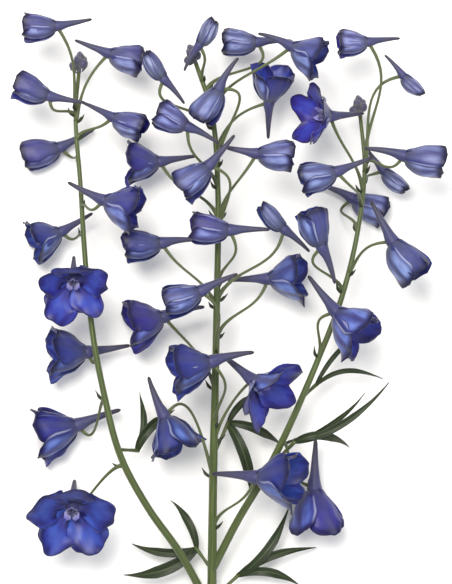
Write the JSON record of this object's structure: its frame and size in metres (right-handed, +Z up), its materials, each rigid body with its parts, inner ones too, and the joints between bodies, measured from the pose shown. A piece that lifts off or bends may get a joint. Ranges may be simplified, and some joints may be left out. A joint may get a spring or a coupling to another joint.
{
  "type": "delphinium flower spike",
  "caption": "Cut delphinium stem lying down: branching flower spikes with long-spurred violet-blue cup-shaped florets on curved stalks, young buds at the tips and narrow-lobed leaves.",
  "frame": {"origin": "centre of the whole plant's box, at its bottom, on the surface that it lies on", "axes": "+Y from the cut end to the tip of the leading spike, +Z up from the surface, +X to the right seen from above with the tips away from the viewer"},
  "size_m": [0.2162, 0.395, 0.0644],
  "materials": {
    "stem": "satin",
    "leaf": "matte",
    "sepal": "matte, faint silky sheen",
    "young_bud": "matte",
    "eye": "matte"
  },
  "bodies": {
    "root": {"stem": "stem", "floret_01": "sepal", "floret_02": "sepal", "floret_03": "sepal", "floret_04": "sepal", "floret_05": "sepal", "floret_06": "sepal", "floret_07": "sepal", "floret_08": "sepal", "floret_09": "sepal", "floret_10": "sepal", "floret_11": "sepal", "floret_12": "sepal", "floret_13": "sepal", "floret_14": "sepal", "floret_15": "sepal", "floret_16": "sepal", "floret_17": "sepal", "floret_18": "sepal", "floret_19": "sepal", "floret_20": "sepal", "floret_21": "sepal", "floret_22": "sepal", "floret_23": "sepal", "floret_24": "sepal", "floret_25": "sepal", "floret_26": "sepal", "floret_27": "sepal", "floret_28": "sepal", "floret_29": "sepal", "floret_30": "sepal", "floret_31": "sepal", "floret_32": "sepal", "floret_33": "sepal", "floret_34": "sepal", "floret_35": "sepal", "floret_36": "sepal", "floret_37": "sepal", "floret_38": "sepal", "floret_39": "sepal", "floret_40": "sepal", "floret_41": "sepal", "floret_42": "sepal", "eye_18": "eye", "eye_25": "eye", "eye_39": "eye", "eye_42": "eye", "young_buds_leader": "young_bud", "young_buds_right": "young_bud", "young_buds_left": "young_bud", "leaf_01": "leaf", "leaf_02": "leaf", "leaf_03": "leaf", "leaf_04": "leaf", "leaf_05": "leaf", "leaf_06": "leaf"}
  },
  "joints": []
}
